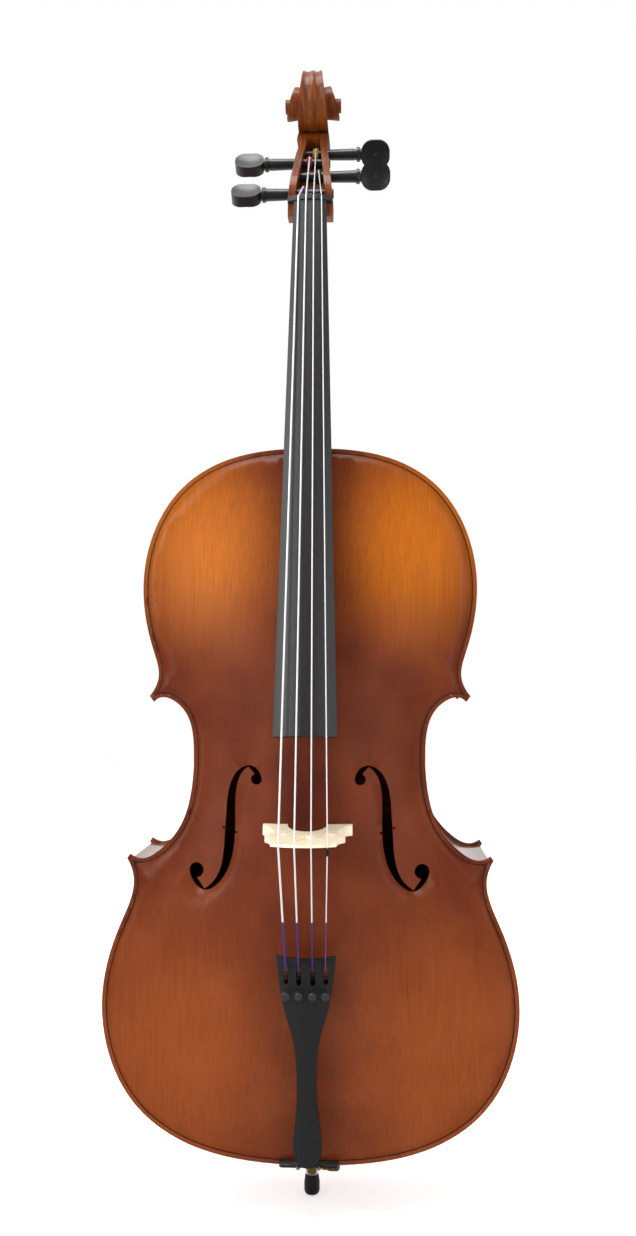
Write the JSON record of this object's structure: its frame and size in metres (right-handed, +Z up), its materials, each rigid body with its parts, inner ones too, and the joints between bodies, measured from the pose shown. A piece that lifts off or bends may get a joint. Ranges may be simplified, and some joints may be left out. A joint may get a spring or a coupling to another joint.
{
  "type": "cello",
  "caption": "Bowed string instrument with an arched hollow body, scroll head, turning pegs, bridge, tailpiece with fine tuners and a sliding endpin.",
  "frame": {"origin": "centre of the underside of the endpin's rubber tip, with the endpin fully in", "axes": "+Z up the instrument along its height, -Y out of the front plate, +X towards the treble side"},
  "size_m": [0.4386, 0.2683, 1.2708],
  "materials": {
    "spruce_varnished": "satin",
    "maple_varnished": "satin",
    "purfling": "satin",
    "spruce_raw": "matte",
    "ebony": "satin",
    "bridge_maple": "matte",
    "ebonised_pegs": "satin",
    "tail_plastic": "satin",
    "tuner_metal": "polished",
    "tuner_black": "satin",
    "string_steel": "polished",
    "string_silk": "matte",
    "cord_nylon": "gloss",
    "brass": "polished",
    "rod_steel": "polished",
    "rubber": "matte"
  },
  "bodies": {
    "instrument": {"top_plate_bass_half": "spruce_varnished", "top_plate_treble_half": "spruce_varnished", "back_plate_bass_half": "maple_varnished", "back_plate_treble_half": "maple_varnished", "purfling_top": "purfling", "purfling_back": "purfling", "lower_rib_bass": "maple_varnished", "lower_rib_treble": "maple_varnished", "waist_rib_bass": "maple_varnished", "waist_rib_treble": "maple_varnished", "upper_rib_bass": "maple_varnished", "upper_rib_treble": "maple_varnished", "neck_block": "spruce_raw", "end_block": "spruce_raw", "corner_block_lower_bass": "spruce_raw", "corner_block_lower_treble": "spruce_raw", "corner_block_upper_bass": "spruce_raw", "corner_block_upper_treble": "spruce_raw", "linings_top": "spruce_raw", "linings_back": "spruce_raw", "bass_bar": "spruce_raw", "sound_post": "spruce_raw", "neck_and_scroll": "maple_varnished", "fingerboard": "ebony", "nut": "ebony", "string_c": "string_steel", "string_g": "string_steel", "string_d": "string_steel", "string_a": "string_steel", "bridge": "bridge_maple", "string_sleeve": "rubber", "tailpiece": "tail_plastic", "fine_tuner_pin": "tuner_metal", "tail_cord": "cord_nylon", "saddle": "ebony", "endpin_plug": "ebony", "endpin_collar": "brass"},
    "peg_c": {"peg_c": "ebonised_pegs", "string_winding_c": "string_silk"},
    "fine_tuner_lever_c": {"fine_tuner_lever_c": "tuner_metal"},
    "fine_tuner_screw_c": {"fine_tuner_screw_c": "tuner_black"},
    "peg_g": {"peg_g": "ebonised_pegs", "string_winding_g": "string_silk"},
    "fine_tuner_lever_g": {"fine_tuner_lever_g": "tuner_metal"},
    "fine_tuner_screw_g": {"fine_tuner_screw_g": "tuner_black"},
    "peg_d": {"peg_d": "ebonised_pegs", "string_winding_d": "string_silk"},
    "fine_tuner_lever_d": {"fine_tuner_lever_d": "tuner_metal"},
    "fine_tuner_screw_d": {"fine_tuner_screw_d": "tuner_black"},
    "peg_a": {"peg_a": "ebonised_pegs", "string_winding_a": "string_silk"},
    "fine_tuner_lever_a": {"fine_tuner_lever_a": "tuner_metal"},
    "fine_tuner_screw_a": {"fine_tuner_screw_a": "tuner_black"},
    "endpin": {"endpin_rod": "rod_steel", "endpin_ferrule": "rod_steel", "endpin_tip": "rubber"},
    "thumb_screw": {"thumb_screw": "brass"}
  },
  "joints": [
    {"name": "peg_turn_c", "type": "hinge", "parent": "instrument", "child": "peg_c", "pos_m": [0, -0.029, 1.103], "axis": [1, 0, 0], "range_deg": [-180, 180]},
    {"name": "peg_turn_g", "type": "hinge", "parent": "instrument", "child": "peg_g", "pos_m": [0, 0.006, 1.154], "axis": [1, 0, 0], "range_deg": [-180, 180]},
    {"name": "peg_turn_d", "type": "hinge", "parent": "instrument", "child": "peg_d", "pos_m": [0, 0.022, 1.1716], "axis": [1, 0, 0], "range_deg": [-180, 180]},
    {"name": "peg_turn_a", "type": "hinge", "parent": "instrument", "child": "peg_a", "pos_m": [0, -0.0098, 1.1309], "axis": [1, 0, 0], "range_deg": [-180, 180]},
    {"name": "tuner_screw_turn_c", "type": "hinge", "parent": "instrument", "child": "fine_tuner_screw_c", "pos_m": [-0.02, -0.10895, 0.25002], "axis": [0, -0.9893, -0.1461], "range_deg": [0, 1080]},
    {"name": "tuner_lever_tilt_c", "type": "hinge", "parent": "instrument", "child": "fine_tuner_lever_c", "pos_m": [-0.02, -0.11413, 0.26321], "axis": [1, 0, 0], "range_deg": [0, 7.2]},
    {"name": "tuner_screw_turn_g", "type": "hinge", "parent": "instrument", "child": "fine_tuner_screw_g", "pos_m": [-0.007, -0.10895, 0.25002], "axis": [0, -0.9893, -0.1461], "range_deg": [0, 1080]},
    {"name": "tuner_lever_tilt_g", "type": "hinge", "parent": "instrument", "child": "fine_tuner_lever_g", "pos_m": [-0.007, -0.11413, 0.26321], "axis": [1, 0, 0], "range_deg": [0, 7.2]},
    {"name": "tuner_screw_turn_d", "type": "hinge", "parent": "instrument", "child": "fine_tuner_screw_d", "pos_m": [0.007, -0.10895, 0.25002], "axis": [0, -0.9893, -0.1461], "range_deg": [0, 1080]},
    {"name": "tuner_lever_tilt_d", "type": "hinge", "parent": "instrument", "child": "fine_tuner_lever_d", "pos_m": [0.007, -0.11413, 0.26321], "axis": [1, 0, 0], "range_deg": [0, 7.2]},
    {"name": "tuner_screw_turn_a", "type": "hinge", "parent": "instrument", "child": "fine_tuner_screw_a", "pos_m": [0.02, -0.10895, 0.25002], "axis": [0, -0.9893, -0.1461], "range_deg": [0, 1080]},
    {"name": "tuner_lever_tilt_a", "type": "hinge", "parent": "instrument", "child": "fine_tuner_lever_a", "pos_m": [0.02, -0.11413, 0.26321], "axis": [1, 0, 0], "range_deg": [0, 7.2]},
    {"name": "endpin_slide", "type": "slide", "parent": "instrument", "child": "endpin", "axis": [0, 0, -1], "range_m": [0, 0.35]},
    {"name": "thumb_screw_turn", "type": "hinge", "parent": "instrument", "child": "thumb_screw", "pos_m": [0.02, 0, 0.0295], "axis": [1, 0, 0], "range_deg": [0, 1080]}
  ],
  "couplings": [
    {"joint": "tuner_lever_tilt_c", "follows": "tuner_screw_turn_c", "ratio": 0.0066667},
    {"joint": "tuner_lever_tilt_g", "follows": "tuner_screw_turn_g", "ratio": 0.0066667},
    {"joint": "tuner_lever_tilt_d", "follows": "tuner_screw_turn_d", "ratio": 0.0066667},
    {"joint": "tuner_lever_tilt_a", "follows": "tuner_screw_turn_a", "ratio": 0.0066667}
  ]
}
